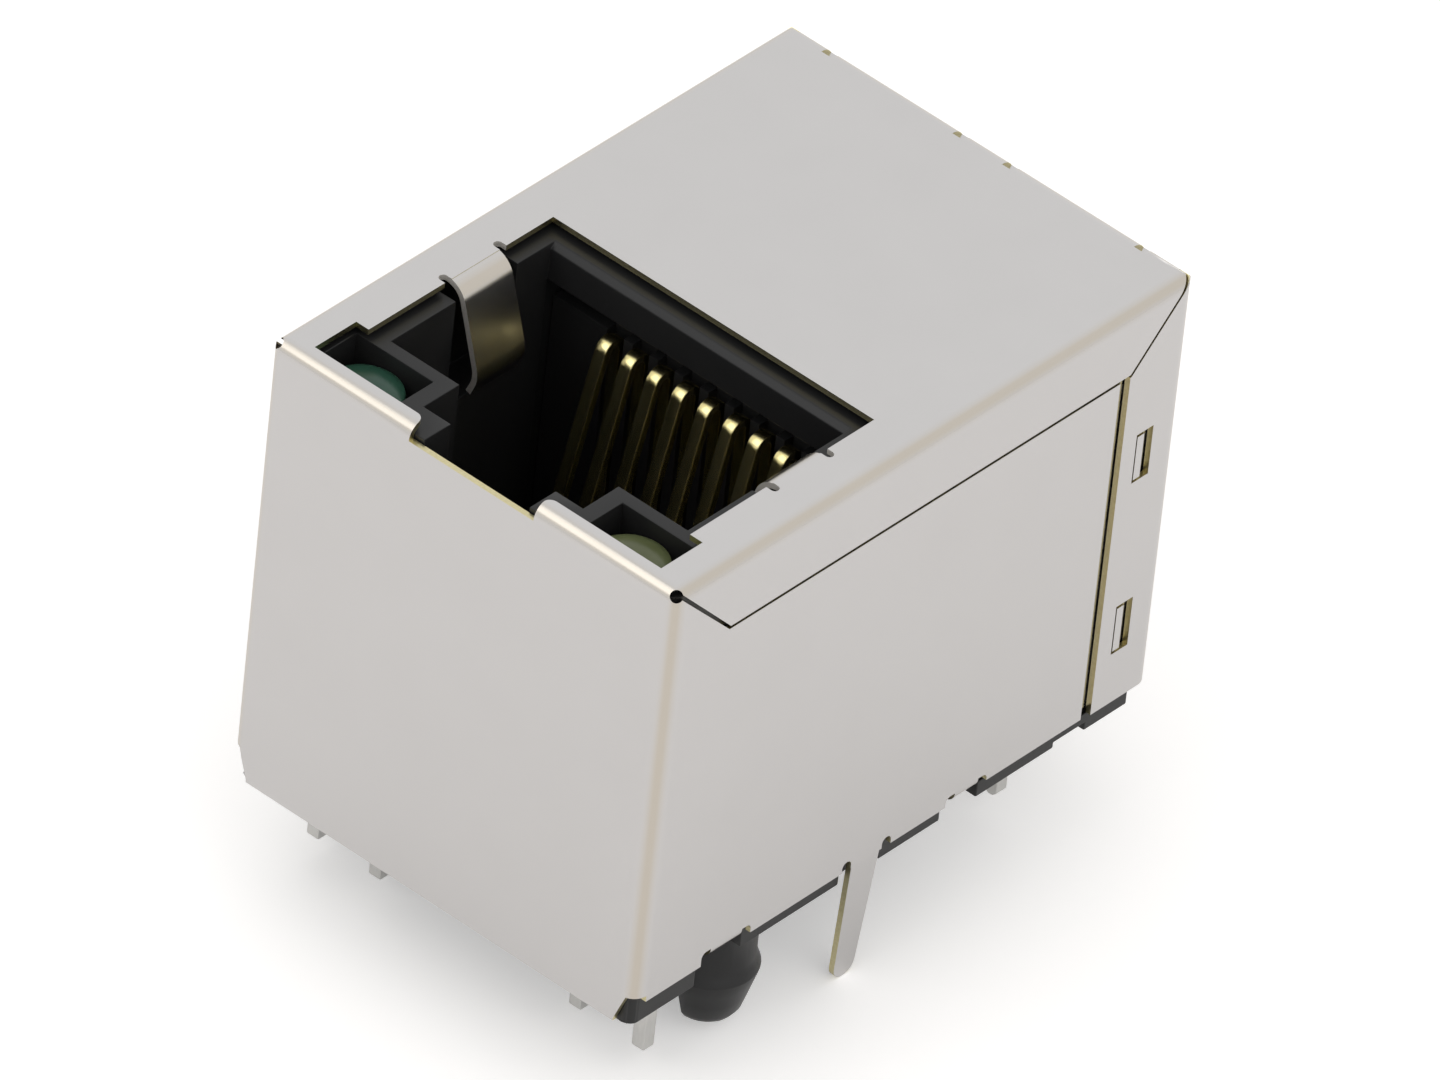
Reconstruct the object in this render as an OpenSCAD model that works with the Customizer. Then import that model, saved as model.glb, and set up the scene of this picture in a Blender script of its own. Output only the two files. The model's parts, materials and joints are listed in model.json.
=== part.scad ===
// Shielded modular jack for a circuit board: the plug goes in from the top,
// and a transformer module sits behind the plug cavity.
// X runs across the jack, Y from its front to its rear, and Z up.
// The origin is on the board's top face, midway between the two locating pegs.

/* [Shield] */
// Width of the folded shield
shell_w = 16.4; // [16.2:0.1:17.2]
// Depth of the folded shield, front to rear
shell_d = 23.1; // [22.8:0.1:24.6]
// Height of the shield's top above the board
shell_h = 16.7; // [16.5:0.1:18]
// Thickness of the sheet
sheet_t = 0.2; // [0.18:0.01:0.25]
// Inside radius of the folds
fold_r = 0.35; // [0.3:0.01:0.4]
// Height of the side walls' lower edge above the board
skirt_z = 1.1; // [1:0.05:1.3]
// Height of the front wall's lower edge above the board
front_wall_z = 0.1; // [0.05:0.01:0.3]
// Depth of the flaps that fold down from the top onto the side walls
flap_drop = 2.6; // [2.2:0.1:3.2]
// Width of the flanges that fold forward from the rear wall
rear_flange = 2.7; // [2.5:0.1:3.2]
// Width of the gap in front of each rear flange
slit_w = 0.45; // [0.35:0.05:0.6]
// Height of the latch windows in the rear flanges
latch_window_h = 1.85; // [1.5:0.05:2.2]
// Width of the latch windows in the rear flanges
latch_window_w = 0.75; // [0.6:0.05:0.9]

/* [Ground legs and fingers] */
// Distance of each ground leg's centre from the front
leg_y = 10.31; // [9.8:0.01:10.8]
// Width of each ground leg
leg_w = 1.28; // [1:0.01:1.5]
// Length of the ground legs below the board's top face
leg_below = 3.5; // [2.8:0.05:3.8]
// Inward lean of the ground legs, in degrees
leg_lean = 3; // [0:1:5]
// Distance of each spring finger's centre from the front
finger_y = 7.15; // [6.9:0.05:7.4]
// Width of each spring finger
finger_w = 2.1; // [1.8:0.1:2.4]

/* [Plug cavity] */
// Width of the plug cavity
cavity_w = 11.9; // [11.8:0.05:12.1]
// Size of the plug cavity from its front shoulder to the contacts' rim
cavity_d = 7; // [6.8:0.05:7.2]
// Depth of the plug cavity below the housing's top face
cavity_depth = 12.3; // [11.8:0.1:12.6]
// Distance of the cavity's front shoulder from the front of the shield
shoulder_y = 2.96; // [2.9:0.01:3.1]
// Width of the latch's guide slot
guide_w = 6.4; // [6.2:0.1:6.6]
// Width of the latch slot at the mouth
latch_w = 4.2; // [4.1:0.05:4.4]
// Distance of the step between guide slot and latch slot from the front
latch_step_y = 1.4; // [1.2:0.05:1.6]

/* [Locating pegs] */
// Distance between the flat faces of the two pegs
peg_spacing = 12.7; // [12.6:0.05:12.8]
// Distance of the pegs' centre line from the front of the shield
peg_y = 5.7; // [5.5:0.05:5.9]
// Radius of the half-round peg above its barb
peg_r = 1.38; // [1.25:0.01:1.4]
// Radius of the barb
barb_r = 1.55; // [1.5:0.01:1.58]
// Length of the pegs below the board's top face
peg_below = 3.05; // [2.8:0.05:3.3]

/* [Contacts] */
// Distance from one contact to the next
contact_pitch = 1.02; // [1:0.01:1.04]
// Width of a contact wire
contact_w = 0.45; // [0.4:0.01:0.5]
// Thickness of a contact wire
contact_t = 0.3; // [0.25:0.01:0.32]
// Lean of a contact's spring arm into the cavity, in degrees
contact_lean = 15; // [13:1:17]
// Length of a contact's straight spring arm
contact_arm = 7.4; // [7:0.1:7.8]

/* [Lamps] */
// Distance of each lamp's centre from the middle of the jack
lamp_x = 5.35; // [5.3:0.05:5.4]
// Radius of the lamp's round rear
lamp_r = 1.27; // [1.2:0.01:1.3]
// Distance between a lamp's two leads
lead_pitch = 2.54; // [2.5:0.01:2.58]
// Width of a lamp lead
lead_w = 0.5; // [0.4:0.05:0.55]

/* [Transformer module] */
// Distance from one terminal pin to the next, across the jack
pin_pitch = 1.27; // [1.25:0.01:1.3]
// Distance between the two rows of terminal pins
pin_row_gap = 2.54; // [2.3:0.02:2.6]
// Distance of the rear row of terminal pins from the rear of the shield
pin_row_inset = 3.7; // [3.5:0.05:3.9]
// Width of a square terminal pin
pin_w = 0.5; // [0.4:0.05:0.55]
// Length of pins and lamp leads below the board's top face
pin_below = 2.8; // [2.4:0.05:3.2]
// Thickness of the module's circuit board
pcb_t = 0.8; // [0.6:0.1:1]
// Height of a toroid core
core_h = 1.9; // [1.6:0.1:2.2]
// Thickness of the module cover's walls
cover_wall = 0.6; // [0.4:0.05:0.7]

/* [Hidden] */
$fn = 48;
eps = 0.01;

// Colours
nickel = "#c9c5c0";
black_plastic = "#2f2f31";
gold = "#d8c272";
tin = "#c4c4c2";
green_epoxy = "#4d6f5c";
yellow_epoxy = "#75803f";
board_green = "#2f5d3a";
ferrite = "#3a3633";
copper_wire = "#a8552e";
ceramic = "#c8b48c";
resistor_black = "#22242a";

// Gap between parts that are pushed together
fit_gap = 0.05;
// How far a cut runs on past the face it opens
past = 1;

// Shield: folds, seams, windows and notches
fold_out = fold_r + sheet_t;
half_w = shell_w / 2;
seam_w = 0.1;
seam_z = shell_h - flap_drop;
side_end = shell_d - rear_flange - slit_w;
flange_y = shell_d - rear_flange;
rear_mitre_y = flange_y + seam_w / 2;
corner_relief_r = 0.2;
lip_land = 0.1;
lip_y = fold_out + lip_land;
lip_gap = 5;
lip_corner_r = 0.3;
window_margin = 0.5;
window_half = cavity_w / 2 + window_margin;
rim_y = shoulder_y + cavity_d;
window_rear_margin = 0.6;
window_back = rim_y + window_rear_margin;
lamp_bay_half = 1.55;
lamp_window_half = lamp_x + lamp_bay_half + fit_gap;
lamp_wall = 0.5;
lamp_bay_back = shoulder_y - lamp_wall;
foot_cut = 0.74;
foot_cut_lap = 0.1;
notch_r = 0.2;
notch_rise = 0.15;
tab_r = 0.2;
tab_run = 0.8;
front_tab = [3.17, 4.95];
rear_tab = [14.05, 15.5];
// The side wall's lower edge is trimmed in four parts: [from, to, rise]
skirt_parts = [[fold_out - eps, front_tab[0], -0.12],
               [front_tab[0] - eps, rear_tab[1], 0],
               [rear_tab[1] - eps, side_end + eps, 0.08],
               [side_end, shell_d + past, 0.02]];
leg_notch = leg_w / 2 + notch_r + fit_gap;
leg_taper = 4.4;
rear_notch_x = [1, 6.3];
rear_notch_w = 0.4;
latch_window_inset = 0.65;
latch_window_y = flange_y + latch_window_inset;
latch_window_z = [3.1, 9.7];
tongue_gap = 0.05;
tongue_foot_gap = 0.2;
tongue_top_gap = 0.1;
jog = sheet_t + tongue_gap;
tongue_end = 2.15;
lance_slope = 0.3;
lance_back = 0.4;
lance_root = 0.6;
lance_gap = 0.1;
finger_relief_w = 0.3;
finger_relief_run = 0.2;
finger_relief_x = window_half + finger_relief_run;
finger_root = 0.1;
finger_bends = [[finger_root, 72, 0.65], [2.2, 40, 0.85], [0.35, 0, 0]];

// Housing
body_half = half_w - sheet_t - fit_gap;
body_front = sheet_t + fit_gap;
face_gap = 0.2;
face_z = shell_h - sheet_t - face_gap;
floor_z = face_z - cavity_depth;
contact_wall = 1.9;
body_back = rim_y + contact_wall;
module_gap = 0.15;
sill_back = rear_tab[0] + fit_gap;
sill_z = 0.43;
sill_top = 3.2;
sill_step = 0.6;
front_foot_back = 6.2;
latch_ledge = 2;
latch_room_y = 0.9;
rim_chamfer = 0.2;
finger_bay_half = finger_w / 2 + finger_relief_w;
finger_bay_x = half_w - 0.95;
finger_bay_z = shell_h - 4.4;
tab_bay_gap = 0.1;
tab_bay_z = skirt_z + sheet_t + 2 * fit_gap;
tab_bay_x = half_w - fold_out - tab_run - tab_bay_gap;
leg_bay = 0.3;
peg_relief = 0.25;
peg_neck = 0.85;
barb_rise = 0.44;
barb_end = 0.25;
barb_taper = 0.43;
barb_tip = 0.6;
pocket_wall = 0.8;
pocket_roof = 1.2;
pocket_count = 3;

// Lamps
lamp_dip = 0.25;
lamp_h = 4.35;
lamp_top = face_z - lamp_dip;
lamp_bottom = lamp_top - lamp_h;
lamp_y = lamp_bay_back - fit_gap - lamp_r;
dome_r = 3;
collar_h = 1.2;
lead_skin = 0.1;
lead_top_y = body_front + lead_skin + lead_w;
lead_y = 2.6;
lead_turn = 60;
lead_bend_r = 0.3;
lead_way_h = 2.6;
lead_end_run = 0.6;

// Contacts and their carrier
contact_count = 8;
bend_in = 0.2;
bend_top = 14;
contact_set_back = 0.84;
contact_back_y = rim_y + contact_set_back;
contact_tip_r = 0.5;
contact_tip = 0.5;
groove_gap = 0.1;
carrier_shoulder = 0.15;
carrier_half = cavity_w / 2 + carrier_shoulder;
carrier_back = body_back - fit_gap;
carrier_top_gap = 0.93;
comb_set_back = 0.53;
comb_front = rim_y + comb_set_back;
low_comb_run = 2.4;
low_comb_front = rim_y - low_comb_run;
low_comb_rise = 2.2;
low_comb_top = floor_z + low_comb_rise;
tail_jog = 1.3;
tail_turn = 60;
tail_bend_r = 0.3;
tail_slot_rise = 1.8;

// Module
pcb_z = 4;
pcb_land = 0.65;
pcb_front = contact_back_y - pcb_land;
pcb_back_gap = 0.7;
pcb_back = shell_d - sheet_t - pcb_back_gap;
pcb_top = pcb_z + pcb_t;
tail_below_pcb = 0.6;
solder_room = 0.3;
base_front = sill_back + module_gap;
base_back_gap = 0.47;
base_back = shell_d - sheet_t - base_back_gap;
base_plate_z = 1;
base_side_gap = 0.12;
base_half = half_w - 2 * sheet_t - tongue_gap - base_side_gap;
pcb_side_gap = 0.2;
pcb_half = base_half - pcb_side_gap;
pin_row_y = shell_d - pin_row_inset;
pin_press = 0.04;
pin_tip = 0.15;
pin_hole_r = 0.42;
tail_hole_r = 0.32;
base_z = 0.4;
base_step_z = 0.6;
base_step_land = 0.3;
base_step_y = pin_row_y - base_step_land;
base_foot_z = 0.3;
base_foot_land = 1.1;
base_foot_y = pin_row_y + base_foot_land;
base_foot_wall = 0.5;
base_pocket_roof = 2.2;
base_pocket_wall = 1;
pin_count = 10;
pin_above_pcb = 0.5;
cover_tail_gap = 0.35;
cover_front = contact_back_y + tail_jog + cover_tail_gap;
cover_back = pcb_back;
cover_half = pcb_half;
cover_top_gap = 0.25;
cover_top = shell_h - sheet_t - cover_top_gap;

// Coils and chips on the module's board
winding_t = 0.28;
winding_gap = 0.02;
winding_turn = 320;
coil_gap = 0.33;
coil_side_gap = 0.6;
coil_room = cover_back - cover_front - 2 * (cover_wall + fit_gap);
coil_r = (coil_room - coil_gap) / 4;
core_r = coil_r - winding_t;
core_bore = 0.49;
core_in = core_bore * core_r;
coil_x = cover_half - cover_wall - coil_side_gap - coil_r;
coil_y = [cover_front + cover_wall + fit_gap + coil_r,
          cover_back - cover_wall - fit_gap - coil_r];
chip_gap = 0.3;
chip_pin_gap = 0.06;
chip_front = cover_front + cover_wall + chip_gap;
capacitor_w = 1.6;
capacitor_h = 1.3;
resistor_size = [1.6, 0.8, 0.45];
resistor_pitch = [1.9, 0.9];
resistor_pin_gap = 0.2;

// ---- helpers -------------------------------------------------------------

// Everything is drawn from the shield's front face and set on the pegs' line
module from_front() {
    translate([0, -peg_y, 0]) children();
}

// A flat drawing in Y and Z, made solid along X about the middle
module across(width) {
    rotate([90, 0, 90])
        linear_extrude(width, center = true) children();
}

// A flat drawing in X and Z, made solid from Y = start to Y = stop
module rearward(start, stop) {
    translate([0, stop, 0]) rotate([90, 0, 0])
        linear_extrude(stop - start) children();
}

module both_sides() {
    children();
    mirror([1, 0, 0]) children();
}

// A quarter, or any part of a turn, of a flat ring
module ring_part(inside, outside, from, to) {
    reach = 2 * outside;
    steps = 4;
    intersection() {
        difference() {
            circle(outside);
            circle(inside);
        }
        polygon(concat([[0, 0]], [for (k = [0:steps])
            let (a = from + k * (to - from) / steps)
            [reach * cos(a), reach * sin(a)]]));
    }
}

// The edge of a folded strip of thickness t. It starts at the origin along
// +X, and each step is [straight run, turn in degrees, inside radius].
module folded_strip(t, steps, i = 0) {
    run = steps[i][0];
    turn = steps[i][1];
    r = steps[i][2];
    left = turn >= 0;
    centre = [run, left ? t + r : -r];
    lap = i == 0 ? 0 : eps;
    translate([-lap, 0]) square([run + lap, t]);
    if (turn != 0) {
        translate(centre)
            ring_part(r, r + t, left ? -90 : 90 + turn, left ? turn - 90 : 90);
    }
    if (i + 1 < len(steps)) {
        translate(centre) rotate(turn) translate([0, -centre[1]])
            folded_strip(t, steps, i + 1);
    }
}

// ---- shield --------------------------------------------------------------

// A rectangle from low to high with round corners at its top
module arch(low, high, r) {
    translate(low) square([high[0] - low[0], high[1] - low[1] - r]);
    translate([low[0] + r, high[1] - 2 * r])
        square([high[0] - low[0] - 2 * r, 2 * r]);
    for (x = [low[0] + r, high[0] - r]) translate([x, high[1] - r]) circle(r);
}

// A block with its upright edges and top edges rounded as the folds are
module hood_block(inset, r) {
    base = front_wall_z - inset;
    intersection() {
        rearward(inset, shell_d - inset)
            arch([-half_w + inset, base], [half_w - inset, shell_h - inset], r);
        across(shell_w)
            arch([inset, base], [shell_d - inset, shell_h - inset], r);
        translate([0, 0, base]) linear_extrude(shell_h)
            intersection() {
                arch([-half_w + inset, inset - shell_d],
                     [half_w - inset, shell_d - inset], r);
                translate([0, shell_d]) mirror([0, 1])
                    arch([-half_w + inset, inset - shell_d],
                         [half_w - inset, shell_d - inset], r);
            }
    }
}

// The line of the seam between a top flap, the side wall and the rear flange
module seam_line() {
    s = seam_w;
    front = [fold_out / 2, shell_h - fold_out / 2];
    polygon([
        front, [flap_drop, seam_z], [rear_mitre_y, seam_z],
        [shell_d, seam_z + shell_d - rear_mitre_y],
        [shell_d, seam_z + shell_d - rear_mitre_y + 1.5 * s],
        [rear_mitre_y - s / 2, seam_z + s], [flap_drop + s / 2, seam_z + s],
        front + [s, s]
    ]);
}

module side_seams() {
    both_sides() translate([half_w, 0, 0]) across(2 * fold_out) seam_line();
    both_sides()
        translate([half_w - fold_out, side_end, skirt_z - past])
            cube([2 * fold_out, slit_w, seam_z - skirt_z + past + seam_w]);
    both_sides()
        translate([half_w - fold_out / 3, fold_out / 3, shell_h - fold_out / 3])
            rotate([0, 55, -45])
                cylinder(r = corner_relief_r, h = 4 * fold_out, center = true);
}

// The opening over the plug cavity and the two lamps
module top_window() {
    translate([-window_half, lip_y, 0])
        square([2 * window_half, window_back - lip_y]);
    translate([-lamp_window_half, lip_y, 0])
        square([2 * lamp_window_half, lamp_bay_back - lip_y]);
    for (side = [-1, 1], y = [-1, 1]) {
        x = side * finger_relief_x;
        edge = finger_y + y * (finger_w + finger_relief_w) / 2;
        translate([x, edge]) circle(finger_relief_w / 2);
        translate([min(x, 0), edge - finger_relief_w / 2])
            square([finger_relief_x, finger_relief_w]);
    }
    gap = lip_gap / 2;
    difference() {
        translate([-gap - lip_corner_r, -past])
            square([lip_gap + 2 * lip_corner_r, lip_y + past + eps]);
        for (side = [-1, 1]) {
            translate([side * (gap + lip_corner_r), lip_y - lip_corner_r])
                circle(lip_corner_r);
            translate([side * (gap + lip_corner_r) - lip_corner_r, -past - eps])
                square([2 * lip_corner_r, lip_y - lip_corner_r + past + eps]);
        }
    }
}

// What is cut from the lower edges: corners, bend reliefs and tab openings
module lower_cuts() {
    rearward(-past, fold_out)
        both_sides2d()
            polygon([[half_w - foot_cut, -past],
                     [half_w - foot_cut, front_wall_z + foot_cut_lap],
                     [half_w - foot_cut / 2, skirt_z + foot_cut_lap],
                     [half_w + past, skirt_z + foot_cut_lap], [half_w + past, -past]]);
    for (part = skirt_parts)
        translate([-half_w - past, part[0], -past])
            cube([shell_w + 2 * past, part[1] - part[0], skirt_z + part[2] + past]);
    across(shell_w + 2 * past) {
        for (y = concat(front_tab, rear_tab,
                        [leg_y - leg_notch, leg_y + leg_notch])) {
            translate([y, skirt_z + notch_rise]) circle(notch_r);
            translate([y - notch_r, 0])
                square([2 * notch_r, skirt_z + notch_rise]);
        }
        for (tab = [front_tab, rear_tab])
            translate([tab[0], 0])
                square([tab[1] - tab[0], tab_top()]);
    }
}

module both_sides2d() {
    children();
    mirror([1, 0]) children();
}

function tab_top() = skirt_z + notch_rise + notch_r;
function tab_under() = tab_top() - tab_r - sheet_t;

// Tabs that fold under the housing and hold it in the shield
module under_tabs() {
    for (tab = [front_tab, rear_tab])
        rearward(tab[0] + notch_r, tab[1] - notch_r)
            both_sides2d()
                translate([half_w - sheet_t, tab_top()]) rotate(-90)
                    folded_strip(sheet_t, [[eps, -90, tab_r], [tab_run, 0, 0]]);
}

// A flat leg whose rear edge tapers down to a full round tip
module leg_blank(w, length) {
    a = leg_taper;
    r = (w * cos(a) - length * sin(a)) / (1 + cos(a) - sin(a));
    tip = [r - w / 2, r - length];
    polygon([[-w / 2, 0], [w / 2, 0], tip + [r * cos(a), -r * sin(a)],
             tip, [-w / 2, tip[1]]]);
    translate(tip) circle(r);
}

module ground_legs() {
    both_sides()
        translate([half_w - sheet_t / 2, leg_y, tab_top()]) rotate([0, leg_lean, 0])
            across(sheet_t)
                leg_blank(leg_w, (tab_top() + leg_below) / cos(leg_lean));
}

// Fingers that curl down from the opening's edge and touch the plug's shield
module spring_fingers() {
    rearward(finger_y - finger_w / 2, finger_y + finger_w / 2)
        both_sides2d()
            translate([finger_relief_x + finger_root, shell_h]) rotate(180)
                folded_strip(sheet_t, finger_bends);
}

// The side walls run on behind the rear flanges, one sheet further in, and
// a lance on each tongue springs out into each flange's latch window
module latch_tongues() {
    low = skirt_z + tongue_foot_gap;
    tall = seam_z - low - tongue_top_gap;
    reach = latch_window_y + latch_window_w - side_end - lance_back;
    both_sides() {
        translate([0, 0, low]) linear_extrude(tall)
            translate([half_w - sheet_t, side_end - eps]) polygon([
                [0, 0], [sheet_t, 0], [sheet_t, eps],
                [sheet_t - jog, jog + eps], [sheet_t - jog, tongue_end],
                [-jog, tongue_end], [-jog, jog / 2 + eps]]);
        for (z = latch_window_z)
            translate([0, 0, z + lance_gap])
                linear_extrude(latch_window_h - 2 * lance_gap)
                    translate([half_w - sheet_t, side_end]) polygon([
                        [-jog, reach - lance_root], [0, reach - lance_slope],
                        [sheet_t, reach - lance_slope], [sheet_t, reach], [0, reach],
                        [-jog, reach - lance_root / 3]]);
    }
}

module shield() {
    color(nickel) from_front() {
        difference() {
            hood_block(0, fold_out);
            hood_block(sheet_t, fold_r);
            side_seams();
            translate([0, 0, shell_h - fold_out])
                linear_extrude(2 * fold_out) top_window();
            lower_cuts();
            both_sides()
                for (z = latch_window_z)
                    translate([half_w - fold_out, latch_window_y, z])
                        cube([2 * fold_out, latch_window_w, latch_window_h]);
            for (side = [-1, 1], x = rear_notch_x)
                translate([side * x - rear_notch_w / 2, shell_d - fold_out,
                           shell_h - fold_out / 2])
                    cube([rear_notch_w, 2 * fold_out, fold_out]);
        }
        under_tabs();
        ground_legs();
        spring_fingers();
        latch_tongues();
    }
}

// ---- housing -------------------------------------------------------------

module housing_block() {
    difference() {
        union() {
            translate([-body_half, body_front, 0])
                cube([2 * body_half, front_tab[0] - body_front, face_z]);
            translate([-tab_bay_x, body_front, 0])
                cube([2 * tab_bay_x, front_foot_back - body_front, face_z]);
            translate([-body_half, body_front, sill_z])
                cube([2 * body_half, body_back - body_front, face_z - sill_z]);
            translate([-body_half, body_back - eps, sill_z])
                cube([2 * body_half, sill_back - body_back, sill_top - sill_z]);
            translate([-body_half, body_back - eps, sill_top - eps])
                cube([2 * body_half, sill_step, pcb_z - sill_top]);
        }
        // upright front edges and the front top edge follow the shield's folds
        both_sides()
            translate([body_half - fold_r, body_front, -past])
                difference() {
                    translate([0, -eps, 0])
                        cube([fold_r + eps, fold_r, face_z + 2 * past]);
                    translate([0, fold_r, -eps])
                        cylinder(r = fold_r, h = face_z + 3 * past);
                }
    }
}

module plug_cavity() {
    half = cavity_w / 2;
    translate([-half, shoulder_y, floor_z])
        cube([cavity_w, cavity_d, cavity_depth + past]);
    // guide slot, latch slot and the room below the latch ledges
    translate([-guide_w / 2, latch_step_y, floor_z])
        cube([guide_w, cavity_d, cavity_depth + past]);
    translate([-latch_w / 2, body_front - past, floor_z])
        cube([latch_w, cavity_d, cavity_depth + past]);
    translate([-guide_w / 2, latch_room_y, floor_z])
        cube([guide_w, cavity_d, cavity_depth - latch_ledge]);
    // mouth chamfer along the contacts' rim
    translate([0, rim_y, face_z]) across(cavity_w)
        polygon([[-past, -rim_chamfer - past], [0, -rim_chamfer], [rim_chamfer, 0],
                 [rim_chamfer + past, past], [-past, past]]);
}

module lamp_bays() {
    both_sides() {
        translate([lamp_x - lamp_bay_half, body_front - past, lamp_bottom])
            cube([2 * lamp_bay_half, lamp_bay_back - body_front + past, face_z]);
        // lead ways from the lamp down, and further back near the board
        for (side = [-1, 1])
            translate([lamp_x + side * lead_pitch / 2 - lead_w / 2 - fit_gap,
                       body_front - past, -past]) {
                cube([lead_w + 2 * fit_gap, lead_top_y + fit_gap - body_front + past,
                      face_z]);
                cube([lead_w + 2 * fit_gap,
                      lead_y + lead_w / 2 + fit_gap - body_front + past,
                      past + lead_way_h]);
            }
    }
}

// Half-round pegs, round side outwards, with a barb that grips the board
module locating_pegs() {
    both_sides()
        translate([peg_spacing / 2, peg_y, 0])
            rotate([0, 0, -90])
                rotate_extrude(angle = 180)
                    polygon([[0, peg_root()], [peg_r, peg_root()],
                             [peg_r, -peg_neck], [barb_r, -peg_neck - barb_rise],
                             [barb_r - barb_taper, barb_end - peg_below],
                             [barb_r - barb_tip, -peg_below], [0, -peg_below]]);
}

function peg_root() = tab_under() - tab_bay_gap;

// Pockets under the floor, which keep the moulding to an even wall
module floor_pockets() {
    half = peg_spacing / 2 - pocket_wall;
    across_one = (2 * half + pocket_wall) / pocket_count;
    rows = [[lead_y + lead_w / 2 + fit_gap + pocket_wall, front_foot_back - pocket_wall],
            [front_foot_back, rim_y - pocket_wall]];
    for (row = rows, i = [0:pocket_count - 1])
        translate([i * across_one - half, row[0], -past])
            cube([across_one - pocket_wall, row[1] - row[0],
                  floor_z - pocket_roof + past]);
}

// A shallow ring round each peg's root keeps its barb from marking the seat
module peg_reliefs() {
    both_sides()
        translate([peg_spacing / 2, peg_y, -past])
            cylinder(r = barb_r + fit_gap, h = past + peg_relief);
}

module housing() {
    color(black_plastic) from_front() {
        difference() {
            housing_block();
            plug_cavity();
            lamp_bays();
            floor_pockets();
            peg_reliefs();
            // seat for the contact carrier, open to the rear
            translate([-carrier_half - fit_gap, rim_y - eps, floor_z])
                cube([2 * (carrier_half + fit_gap), body_back - rim_y + past,
                      bend_top + carrier_top_gap - floor_z]);
            both_sides() {
                // bays behind the spring fingers
                translate([cavity_w / 2 - past, finger_y - finger_bay_half,
                           finger_bay_z])
                    cube([finger_bay_x - cavity_w / 2 + past, 2 * finger_bay_half,
                          shell_h]);
                // room for the tabs under the housing
                for (tab = [front_tab, rear_tab])
                    translate([tab_bay_x, tab[0] - tab_bay_gap, -past])
                        cube([tab_run + fold_out, tab[1] - tab[0] + 2 * tab_bay_gap,
                              past + tab_bay_z]);
                // room for the ground legs, which lean inwards
                translate([body_half - leg_bay, leg_y - leg_notch, -past])
                    cube([leg_bay + past, 2 * leg_notch, past + tab_top()]);
            }
            // way out for the contact tails, and a slot for the board's edge
            translate([-carrier_half, rim_y + rim_chamfer, sill_top])
                cube([2 * carrier_half, body_back, pcb_top + solder_room - sill_top]);
            translate([-pcb_half - fit_gap, pcb_front - fit_gap, pcb_z])
                cube([2 * (pcb_half + fit_gap), body_back, pcb_t + fit_gap]);
        }
        locating_pegs();
    }
}

// ---- contacts ------------------------------------------------------------

function contact_x(i) = (i - (contact_count - 1) / 2) * contact_pitch;

// Upright run behind the top bend, then the bend, the spring arm and its tip
module contact(i) {
    straight = i % 2 == 0;
    bend = tail_bend_r + contact_t / 2;
    slant = (tail_jog - 2 * bend * (1 - cos(tail_turn))) / sin(tail_turn);
    jog_rise = slant * cos(tail_turn) + 2 * bend * sin(tail_turn);
    start_z = pcb_z - tail_below_pcb;
    bend_z = bend_top - bend_in - contact_t;
    foot = pcb_top + solder_room - start_z;
    tail = straight ? [] : [[foot, tail_turn, tail_bend_r],
                            [slant, -tail_turn, tail_bend_r]];
    rise = bend_z - start_z - (straight ? 0 : foot + jog_rise);
    color(gold) from_front()
        translate([contact_x(i), contact_back_y + (straight ? 0 : tail_jog), start_z])
            across(contact_w)
                rotate(90)
                    folded_strip(contact_t, concat(tail, [
                        [rise, 180 - contact_lean, bend_in],
                        [contact_arm, -2 * contact_lean, contact_tip_r],
                        [contact_tip, 0, 0]]));
}

module contact_carrier() {
    groove = contact_w + 2 * groove_gap;
    color(black_plastic) from_front()
        difference() {
            union() {
                translate([-carrier_half, comb_front, floor_z + fit_gap])
                    cube([2 * carrier_half, carrier_back - comb_front,
                          bend_top - floor_z - fit_gap]);
                translate([-cavity_w / 2 + fit_gap, low_comb_front, floor_z + fit_gap])
                    cube([cavity_w - 2 * fit_gap, comb_front - low_comb_front + eps,
                          low_comb_top - floor_z - fit_gap]);
            }
            for (i = [0:contact_count - 1])
                translate([contact_x(i) - groove / 2, low_comb_front - past, -eps])
                    cube([groove, contact_back_y - low_comb_front + past + groove_gap,
                          shell_h]);
            // slots at the foot, where every other wire steps back to its hole
            for (i = [0:contact_count - 1])
                translate([contact_x(i) - groove / 2, contact_back_y - past, -eps])
                    cube([groove, carrier_back, pcb_top + tail_slot_rise]);
            // recess for the module board and the contact tails
            translate([-carrier_half - past, pcb_front - fit_gap, 0])
                cube([2 * (carrier_half + past), carrier_back,
                      pcb_top + solder_room]);
        }
}

// ---- lamps ---------------------------------------------------------------

// A round epoxy lens with a low dome and a flat front, on a square collar
module lamp(side, tint) {
    collar = lamp_bay_half - fit_gap;
    color(tint) from_front() translate([side * lamp_x, 0, 0]) {
        difference() {
            translate([0, lamp_y, 0]) intersection() {
                translate([0, 0, lamp_bottom])
                    cylinder(r = lamp_r, h = lamp_top - lamp_bottom);
                translate([0, 0, lamp_top - dome_r]) sphere(dome_r, $fn = 96);
            }
            translate([-2 * lamp_r, body_front - 2 * lamp_r, 0])
                cube([4 * lamp_r, 2 * lamp_r, shell_h]);
        }
        translate([-collar, body_front, lamp_bottom])
            cube([2 * collar, lamp_bay_back - fit_gap - body_front, collar_h]);
    }
}

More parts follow.
